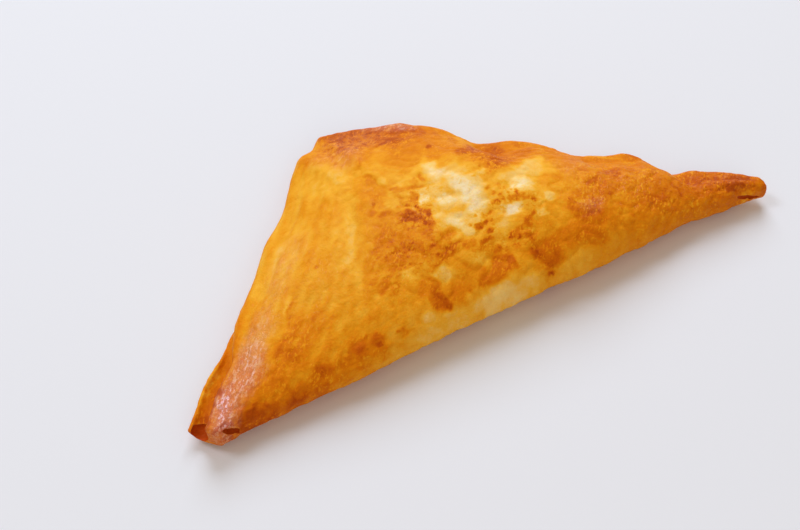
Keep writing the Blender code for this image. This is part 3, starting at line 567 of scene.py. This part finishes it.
def station_shares():
    """The shares of the seam's length at which the stations stand."""
    share = np.linspace(0.0, 1.0, DENSE)
    density = 1 + sum(more * bump(share - place, reach) for place, reach, more in CROWDED_STATIONS)
    progress = np.concatenate([[0.0], np.cumsum(0.5 * (density[1:] + density[:-1]))])
    return np.interp(np.linspace(0.0, 1.0, STATIONS), progress / progress[-1], share)


def lofted():
    """The grid of points, stations by points round the section."""
    seam, outward, along = seam_line()
    start, end = np.array(FOLD_START), np.array(FOLD_END)
    rows = []
    for share in station_shares():
        place = share * along[-1]
        at_seam, normal = read_at(place, along, seam), read_at(place, along, outward)
        at_fold = start + (end - start) * share
        for middle, half_width, depth in FOLD_SWELLS:
            at_fold[1] -= depth * bump(share - middle, DIP_REACH * half_width)
        width = np.linalg.norm(at_seam - at_fold)
        across = (at_seam - at_fold) / width
        slant = 1 / max(LEAST_SLANT, across @ (normal / np.linalg.norm(normal)))
        stretches = section(share, place, width, slant)
        counted = zip(stretches, STRETCH_POINTS)
        loop = np.vstack([spaced(line, count + 1)[:-1] for line, count in counted])
        rows.append(np.column_stack([at_fold + loop[:, :1] * across, loop[:, 1]]))
    return np.array(rows)


def normals_of(grid):
    """Unit normals of a grid that is closed round its second axis, facing out."""
    along = np.gradient(grid, axis=0)
    around = np.roll(grid, -1, axis=1) - np.roll(grid, 1, axis=1)
    normals = np.cross(around, along)
    return normals / np.linalg.norm(normals, axis=2, keepdims=True)


def by_stretch(values):
    """Values round a section, from what each stretch starts and ends with."""
    return np.concatenate([
        np.linspace(first, last, count, endpoint=False)
        for (first, last), count in zip(values, STRETCH_POINTS)
    ])


def low_relief(x, y):
    """How far the crust stands out at places on the top, as in the solid."""
    height = np.zeros(x.shape)
    for place_x, place_y, long_side, short_side, turn, tall in HUMPS:
        along, across = turned(x - place_x, y - place_y, turn)
        height += tall * np.exp(-((along / long_side) ** 2) - (across / short_side) ** 2)
    height += SWELL_HEIGHT * noise_at(SWELL_SIZE, SWELL_LAYER, x, y)
    along, across = turned(x, y, WRINKLE_TURN)
    along = along * WRINKLE_WIDTH / WRINKLE_LENGTH
    height += WRINKLE_HEIGHT * noise_at(WRINKLE_WIDTH, WRINKLE_LAYER, along, across)
    height += BLISTER_HEIGHT * noise_at(BLISTER_SIZE, BLISTER_LAYER, x, y)
    return height


def crinkles(x, y, z):
    """Meandering ridges, from 0 between them to 1 on their crests."""
    wander = noise_at(WANDER_SIZE * CRINKLE_SIZE, WANDER_LAYER, x, y, z)
    wander = CRINKLE_WANDER * CRINKLE_SIZE * wander
    ridge = 1 - np.abs(noise_at(CRINKLE_SIZE, CRINKLE_LAYER, x + wander, y - wander, z))
    return ridge ** CRINKLE_SHARPNESS


def streaks(x, y, z):
    """Long low ripples across the pastry, between about -1 and 1."""
    along, across = turned(x, y, STREAK_TURN)
    return noise_at(STREAK_SIZE, STREAK_LAYER, along / STREAK_STRETCH, across, z)


def streaked(x, y):
    """Where the ripples show rather than the crinkles: on the left third and at the apex."""
    return np.maximum(1 - ease(*STREAKED_LEFT, x), APEX_SHARE * ease(*STREAKED_APEX, y))


def bubbled(x):
    """Where the crust has risen in small bubbles: at the tips, and over the right third."""
    return np.maximum(1 - ease(*BUBBLED_LEFT, x), RIGHT_SHARE * ease(*BUBBLED_RIGHT, x))


def fine_relief(grid):
    """Wrinkles, streaks, bubbles and grain, each where the crust shows them."""
    x, y, z = np.moveaxis(grid, 2, 0)
    rippled = streaked(x, y)
    along, across = turned(x, y, STREAK_TURN)
    along, across = BUBBLE_SHAPE[0] * along, BUBBLE_SHAPE[1] * across
    bubbles = ease(*BUBBLE_EDGE, noise_at(BUBBLE_SIZE, BUBBLE_LAYER, along, across, z))
    height = CRINKLE_HEIGHT * (1 - CRINKLE_LOSS * rippled) * crinkles(x, y, z)
    height += STREAK_HEIGHT * (LEAST_STREAK + (1 - LEAST_STREAK) * rippled) * streaks(x, y, z)
    height += BUBBLE_HEIGHT * (LEAST_BUBBLE + (1 - LEAST_BUBBLE) * bubbled(x)) * bubbles
    height += GRAIN_HEIGHT * noise_at(GRAIN_SIZE, GRAIN_LAYER, x, y, z)
    return height


def crusted(grid):
    """The grid with its relief, which fades out in the slit and underneath."""
    normals = normals_of(grid)
    x, y, _ = np.moveaxis(grid, 2, 0)
    out = low_relief(x, y) * by_stretch(LOW_SHARES) + fine_relief(grid) * by_stretch(FINE_SHARES)
    moved = grid + normals * out[:, :, None]
    moved[:, :, 2] = np.maximum(moved[:, :, 2], 0.0)
    return moved


def nose_rings(loop, facing, swell):
    """Rings that round an end off: ever smaller copies of its section, each further out."""
    middle = loop.mean(axis=0)
    forward = np.array(facing) * swell
    turns = np.linspace(0.0, math.acos(NOSE_SHARE), NOSE_RINGS + 1)[1:]
    return [middle + (loop - middle) * math.cos(turn) + forward * math.sin(turn) for turn in turns]


def strayed(places, wander, layer):
    """The same places, moved about by noise of the given reaches and sizes."""
    x, y = places
    stray_x = sum(reach * noise_at(size, layer + size, x, y) for reach, size in wander)
    stray_y = sum(reach * noise_at(size, layer + 1 + size, x, y) for reach, size in wander)
    return x + stray_x, y + stray_y


def painted(strokes, brush, places):
    """For each stroke, its weight at the places: 1 at its heart, and 0 past a wandering edge."""
    edge, wander = brush
    x, y = strayed(places, wander, STRAY_LAYER)
    for place_x, place_y, half_length, half_width, turn, *rest in strokes:
        at_x = PATCH_ORIGIN[0] + MM * place_x
        at_y = PATCH_ORIGIN[1] + MM * place_y
        along, across = turned(x - at_x, y - at_y, turn)
        reach = np.hypot(along / (MM * half_length), across / (MM * half_width))
        yield 1 - ease(*edge, reach), rest


def strongest(strokes, places):
    """The strongest of the strokes at each place."""
    value = np.zeros(places[0].shape)
    for weight, (strength,) in painted(strokes, SOFT_BRUSH, places):
        value = np.maximum(value, strength * weight)
    return value


def doneness_of(x, y, z, specks_and_glints, lips, slit, underneath):
    """How far each place is fried, with painted shade darkening the slit."""
    done = keyed(DONENESS_ALONG, np.clip(x, DONENESS_ALONG[0][0], DONENESS_ALONG[-1][0]))
    for strokes, brush in PAINTING:
        for weight, (target, *given) in painted(strokes, brush, (x, y)):
            strength = given[0] if given else USUAL_STRENGTH
            done += (target - done) * strength * weight
    busy = CALM_SHARE + (1 - CALM_SHARE) * specks_and_glints
    for layer, (stray, size) in enumerate(MOTTLES):
        done += stray * busy * noise_at(size, MOTTLE_LAYER + layer, x, y, z)
    done += RIDGE_BROWNING * busy * (crinkles(x, y, z) - CRINKLE_MIDDLE)
    done -= STREAK_PALING * streaked(x, y) * streaks(x, y, z)
    # The slit between the layers is darkened as painted shade.
    done += LIP_BROWNING * lips + SLIT_PAINTED_SHADE * slit
    below = UNDERSIDE_DONENESS
    for layer, (stray, size) in enumerate(UNDERSIDE_MOTTLES):
        below = below + stray * noise_at(size, UNDERSIDE_LAYER + layer, x, y)
    return done + (below - done) * underneath


def finishes_of(rings):
    """The doneness and the other finishes at each point of the rings."""
    x, y, z = np.moveaxis(rings, 2, 0)
    slit = by_stretch(SLIT) ** SLIT_SHARPNESS * ease(TROUGH_START, TROUGH_END, x - x.min())
    underneath = by_stretch(UNDERNEATH)
    shown = 1 - underneath
    specks_and_glints = strongest(SPECKS_AND_GLINTS, (x, y)) * shown
    return {
        "doneness": doneness_of(x, y, z, specks_and_glints, by_stretch(LIPS), slit, underneath),
        # Where the pink blush is painted, partly the crust's own colour and partly painted sheen.
        "blush_and_sheen": strongest(BLUSHES_AND_SHEEN, (x, y)) * shown,
        "gloss": strongest(GLOSSY, (x, y)) * shown,
        "specks_and_glints": specks_and_glints,
        # The walls of the hollows come from their cutters, which don't have it.
        "outside": np.ones(x.shape),
    }


def net_over(ring):
    """Triangles that close an end: the ring's corners, then new points inside it."""
    middle = ring.mean(axis=0)
    sideways = ring[np.argmax(np.linalg.norm((ring - middle)[:, :2], axis=1))] - middle
    sideways = np.array([sideways[0], sideways[1], 0.0]) / np.hypot(sideways[0], sideways[1])
    flat = np.stack([(ring - middle) @ sideways, ring[:, 2] - middle[2]], axis=1)
    low, high = flat.min(axis=0), flat.max(axis=0)
    across, up = (np.arange(low[i], high[i], NET_STEP) for i in (0, 1))
    inside = [
        (u, v) for u in across for v in up
        if np.hypot(flat[:, 0] - u, flat[:, 1] - v).min() > NET_CLEARANCE * NET_STEP
    ]
    corners = [Vector(place) for place in [*flat, *inside]]
    edges = [(i, (i + 1) % len(ring)) for i in range(len(ring))]
    found = geometry.delaunay_2d_cdt(corners, edges, [], NET_INSIDE_ONLY, NET_PRECISION)
    places, faces, sources = found[0], found[2], found[3]
    kept = [source[0] if source else None for source in sources]
    points = [middle + sideways * place.x + np.array([0, 0, place.y]) for place in places]
    return points, faces, kept


def build_rings():
    """The crust's rings from end to end, in the plan's own frame."""
    grid = crusted(lofted())
    left = nose_rings(grid[0], LEFT_FACING, LEFT_SWELL)
    right = nose_rings(grid[-1], RIGHT_FACING, RIGHT_SWELL)
    return np.array([*reversed(left), *grid, *right])


def boxed(rings):
    """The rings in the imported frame, filling the solid's box, and the way there from the plan."""
    low, high = rings.min(axis=(0, 1)), rings.max(axis=(0, 1))
    box_low, box_high = (np.array(corner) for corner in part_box("folded_pastry"))
    shift = 0.5 * (box_low + box_high - low - high) * (1, 1, 0)
    return box_low + (rings - low) * (box_high - box_low) / (high - low), Vector(shift)


def mesh_from(rings, finishes):
    """The mesh over the rings, closed at both ends, with its finishes as attributes."""
    count, round_count = rings.shape[:2]
    points = list(rings.reshape(-1, 3))
    values = {name: list(value.ravel()) for name, value in finishes.items()}
    faces = []
    for row in range(count - 1):
        here, there = row * round_count, (row + 1) * round_count
        for i in range(round_count):
            before = (i - 1) % round_count
            faces.append((here + before, here + i, there + i, there + before))
    for row in (0, count - 1):
        extra, net, kept = net_over(rings[row])
        numbers = []
        for place, source in zip(extra, kept):
            if source is not None and source < round_count:
                numbers.append(row * round_count + source)
                continue
            numbers.append(len(points))
            points.append(place)
            for name, value in values.items():
                value.append(float(finishes[name][row].mean()))
        faces += [tuple(numbers[i] for i in face) for face in net]

    mesh = bpy.data.meshes.new("brik_crust")
    mesh.from_pydata([tuple(place) for place in points], [], faces)
    for name, value in values.items():
        attribute = mesh.attributes.new(name, "FLOAT", "POINT")
        attribute.data.foreach_set("value", np.array(value, dtype=np.float32))
    tidy = bmesh.new()
    tidy.from_mesh(mesh)
    loose = [corner for corner in tidy.verts if not corner.link_faces]
    bmesh.ops.delete(tidy, geom=loose, context="VERTS")
    bmesh.ops.recalc_face_normals(tidy, faces=tidy.faces)
    bmesh.ops.triangulate(tidy, faces=tidy.faces)
    tidy.to_mesh(mesh)
    tidy.free()
    return mesh


def placed(name, data):
    """A new object in the scene, of a mesh, camera or lamp."""
    made = bpy.data.objects.new(name, data)
    bpy.context.scene.collection.objects.link(made)
    return made


def set_inputs(node, values):
    """Sets or links inputs of a shader node, by name or number."""
    for name, value in values.items():
        if isinstance(value, bpy.types.NodeSocket):
            node.id_data.links.new(value, node.inputs[name])
        else:
            node.inputs[name].default_value = value


def hollow_cutter(name, middle, radii, dip, turn):
    """A dented ball the size of a gaping fold."""
    shape = bmesh.new()
    bmesh.ops.create_icosphere(shape, subdivisions=BALL_FINENESS, radius=1.0)
    own = Vector((0, 0, len(name)))
    for corner in shape.verts:
        corner.co *= 1 + DENT_DEPTH * noise.noise(corner.co * DENT_SCALE + own)
    bmesh.ops.scale(shape, verts=shape.verts, vec=radii)
    mesh = bpy.data.meshes.new(name)
    shape.to_mesh(mesh)
    shape.free()
    cutter = placed(name, mesh)
    cutter.location = middle
    cutter.rotation_euler = (0.0, math.radians(dip), math.radians(turn))
    return cutter


def hollow_out(piece, shift):
    """Cuts the gaping folds into the tips."""
    cutters = []
    for name, (middle, *shape) in HOLLOWS.items():
        cutter = hollow_cutter(name, Vector(middle) + shift, *shape)
        cut = piece.modifiers.new(name, "BOOLEAN")
        cut.operation = "DIFFERENCE"
        cut.solver = "MANIFOLD"
        cut.object = cutter
        cutters.append(cutter)
    evaluated = piece.evaluated_get(bpy.context.evaluated_depsgraph_get())
    mesh = bpy.data.meshes.new_from_object(evaluated)
    piece.modifiers.clear()
    piece.data = mesh
    for cutter in cutters:
        bpy.data.objects.remove(cutter)


def crust_material():
    """The fried crust: colours, painted highlights and shade, mottling, oily shine and finest
    grain.
    """
    material = bpy.data.materials.new("fried_crust")
    material.use_nodes = True
    nodes = material.node_tree.nodes

    def node(kind, inputs, **settings):
        made = nodes.new(kind)
        for name, value in settings.items():
            setattr(made, name, value)
        set_inputs(made, inputs)
        return made

    def attribute(name):
        return node("ShaderNodeAttribute", {}, attribute_name=name).outputs["Fac"]

    def calculated(operation, *values, clamp=False):
        inputs = dict(enumerate(values))
        return node("ShaderNodeMath", inputs, operation=operation, use_clamp=clamp).outputs[0]

    def scaled(value, share, start=0.0, clamp=False):
        """The start and this share of the value."""
        return calculated("MULTIPLY_ADD", value, share, start, clamp=clamp)

    place = node("ShaderNodeTexCoord", {}).outputs["Object"]

    def noise_texture(scale, detail, roughness, at=place):
        """Noise about 0."""
        inputs = {"Vector": at, "Scale": scale, "Detail": detail, "Roughness": roughness}
        return calculated("SUBTRACT", node("ShaderNodeTexNoise", inputs).outputs["Fac"], 0.5)

    def mixed(share, first, second):
        """The first colour, with this share of the second."""
        inputs = {"Factor": share, "A": first, "B": second}
        return node("ShaderNodeMix", inputs, data_type="RGBA").outputs["Result"]

    def stepped(value, edge):
        """0 below the edge's first value, 1 above its second, and a smooth step between."""
        inputs = {"Value": value, "From Min": edge[0], "From Max": edge[1]}
        made = node("ShaderNodeMapRange", inputs, interpolation_type="SMOOTHSTEP")
        return made.outputs["Result"]

    mottle = noise_texture(*MOTTLE_NOISE)
    fine = noise_texture(*FINE_NOISE)
    flecks = stepped(noise_texture(*FLECK_NOISE), FLECK_EDGE)
    sparkles = stepped(noise_texture(*SPARKLE_NOISE), SPARKLE_EDGE)
    turn = (0.0, 0.0, math.radians(GLINT_TURN))
    inputs = {"Vector": place, "Rotation": turn, "Scale": (GLINT_STRETCH, 1.0, 1.0)}
    slanted = node("ShaderNodeMapping", inputs, vector_type="TEXTURE").outputs["Vector"]
    highlight_spots = stepped(noise_texture(*PAINTED_HIGHLIGHT_NOISE, slanted), PAINTED_HIGHLIGHT_EDGE)
    # Glints are painted highlights: pale dashes taken off the doneness, most where the crust is
    # brown and speckled.
    glints = stepped(noise_texture(*GLINT_NOISE, slanted), GLINT_EDGE)
    glints = scaled(glints, stepped(noise_texture(*GLINT_PATCH_NOISE), GLINT_PATCH_EDGE))
    glints = scaled(glints, stepped(attribute("doneness"), GLINT_DONENESS))
    specks_and_glints = attribute("specks_and_glints")
    # The same mask also sets how strong the painted glint highlights are.
    glints = scaled(glints, scaled(specks_and_glints, GLINT_SPECKLED, GLINT_CALM, clamp=True))
    share = scaled(specks_and_glints, MOTTLE_SPECKLED - MOTTLE_CALM, MOTTLE_CALM)
    doneness = scaled(mottle, share, attribute("doneness"))
    doneness = scaled(fine, FINE_SHARE, doneness)
    doneness = scaled(scaled(flecks, specks_and_glints), FLECK_SHARE, doneness)
    doneness = scaled(glints, -GLINT_SHARE, doneness)
    doneness = calculated("MINIMUM", doneness, DARKEST)

    palette = node("ShaderNodeValToRGB", {"Fac": doneness})
    stops = palette.color_ramp.elements
    while len(stops) < len(CRUST_PALETTE):
        stops.new(0.5)
    for stop, (position, colour) in zip(stops, CRUST_PALETTE):
        stop.position = position
        stop.color = (*colour, 1.0)

    # The blush mixes in pink, partly the crust's own and partly painted sheen; painted highlights,
    # pale and lilac where the blush is strongest, go over it.
    blush_and_sheen = attribute("blush_and_sheen")
    painted_highlights = scaled(scaled(highlight_spots, blush_and_sheen), PAINTED_HIGHLIGHT_SHARE)
    colour = mixed(scaled(blush_and_sheen, BLUSH_AND_SHEEN_SHARE), palette.outputs["Color"], BLUSH_AND_SHEEN_COLOUR)
    colour = mixed(painted_highlights, colour, PAINTED_HIGHLIGHT_COLOUR)
    colour = mixed(scaled(painted_highlights, stepped(blush_and_sheen, LILAC_HIGHLIGHT_EDGE)), colour, LILAC_HIGHLIGHT_COLOUR)
    # The hollows' walls are painted dark red-brown: browned, and darkened as painted shade.
    colour = mixed(scaled(attribute("outside"), -1.0, 1.0, clamp=True), colour, HOLLOW_BROWN_AND_SHADE)

    gloss = attribute("gloss")
    sparkling = scaled(gloss, SPARKLE_GLOSSY - SPARKLE_CALM, SPARKLE_CALM)
    grain = scaled(scaled(mottle, BUMP_MOTTLE, fine), scaled(gloss, BUMP_GLOSSY, 1.0))
    relief = {"Height": grain, "Strength": BUMP_STRENGTH, "Distance": BUMP_DISTANCE}
    normal = node("ShaderNodeBump", relief).outputs["Normal"]
    set_inputs(nodes["Principled BSDF"], {
        "Base Color": colour,
        "Roughness": scaled(mottle, ROUGHNESS_STRAY, ROUGHNESS),
        "Normal": normal,
        "Coat Weight": scaled(gloss, SHEEN_GLOSSY, scaled(sparkles, sparkling)),
        "Coat Roughness": COAT_ROUGHNESS,
        "Coat Normal": normal,
        "Specular IOR Level": SPECULAR,
        "Subsurface Weight": SINK_SHARE,
        "Subsurface Radius": SINK_COLOUR,
        "Subsurface Scale": SINK_DEPTH,
    })
    return material


def make_pastry():
    """The pastry with its hollows and its look, and the way to it from the plan."""
    rings = build_rings()
    finishes = finishes_of(rings)
    rings, shift = boxed(rings)
    pastry = placed("brik_crust", mesh_from(rings, finishes))
    hollow_out(pastry, shift)
    pastry.data.shade_smooth()
    pastry.data.materials.clear()
    pastry.data.materials.append(crust_material())
    return pastry, shift


def make_floor():
    """A pale, matt floor just under the pastry."""
    mesh = bpy.data.meshes.new("floor")
    corners = [(-1, -1), (1, -1), (1, 1), (-1, 1)]
    mesh.from_pydata([(FLOOR_HALF * x, FLOOR_HALF * y, 0) for x, y in corners], [], [(0, 1, 2, 3)])
    floor = placed("floor", mesh)
    floor.location.z = -FLOOR_DROP
    material = bpy.data.materials.new("pale_floor")
    material.use_nodes = True
    set_inputs(material.node_tree.nodes["Principled BSDF"], {
        "Base Color": FLOOR_COLOUR,
        "Roughness": FLOOR_ROUGHNESS,
        "Specular IOR Level": FLOOR_SPECULAR,
    })
    mesh.materials.append(material)
    return floor


def make_camera(shift):
    """The camera, which stands to the crust as in the photograph."""
    camera = bpy.data.cameras.new("camera")
    camera.lens = CAMERA_LENS
    camera.sensor_width = CAMERA_SENSOR
    camera.clip_start = CAMERA_NEAR
    holder = placed("camera", camera)
    holder.location = Vector(CAMERA_PLACE) + shift
    holder.rotation_euler = (math.radians(90 - CAMERA_PITCH), 0.0, math.radians(-CAMERA_HEADING))
    bpy.context.scene.camera = holder


def make_light():
    """The lamps, the light of the room, and plain colours."""
    for name, (direction, distance, size, power, colour, glossy) in LAMPS.items():
        lamp = bpy.data.lights.new(name, "AREA")
        lamp.size = size
        lamp.energy = power
        lamp.color = colour
        holder = placed(name, lamp)
        towards = Vector(direction).normalized()
        holder.location = towards * distance
        holder.rotation_euler = (-towards).to_track_quat("-Z", "Y").to_euler()
        holder.visible_glossy = glossy
    scene = bpy.context.scene
    scene.world = bpy.data.worlds.new("room")
    scene.world.use_nodes = True
    background = scene.world.node_tree.nodes["Background"]
    set_inputs(background, {"Color": WORLD_COLOUR, "Strength": WORLD_STRENGTH})
    scene.view_settings.view_transform = "Standard"


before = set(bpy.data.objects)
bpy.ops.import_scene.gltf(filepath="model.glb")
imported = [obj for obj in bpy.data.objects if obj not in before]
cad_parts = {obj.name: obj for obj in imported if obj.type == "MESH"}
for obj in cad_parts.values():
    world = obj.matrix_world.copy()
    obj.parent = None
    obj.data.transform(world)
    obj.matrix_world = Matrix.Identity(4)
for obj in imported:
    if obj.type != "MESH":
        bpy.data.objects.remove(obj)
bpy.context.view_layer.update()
make_light()
make_floor()

pastry, shift = make_pastry()
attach(pastry, "root")
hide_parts("folded_pastry")
make_camera(shift)
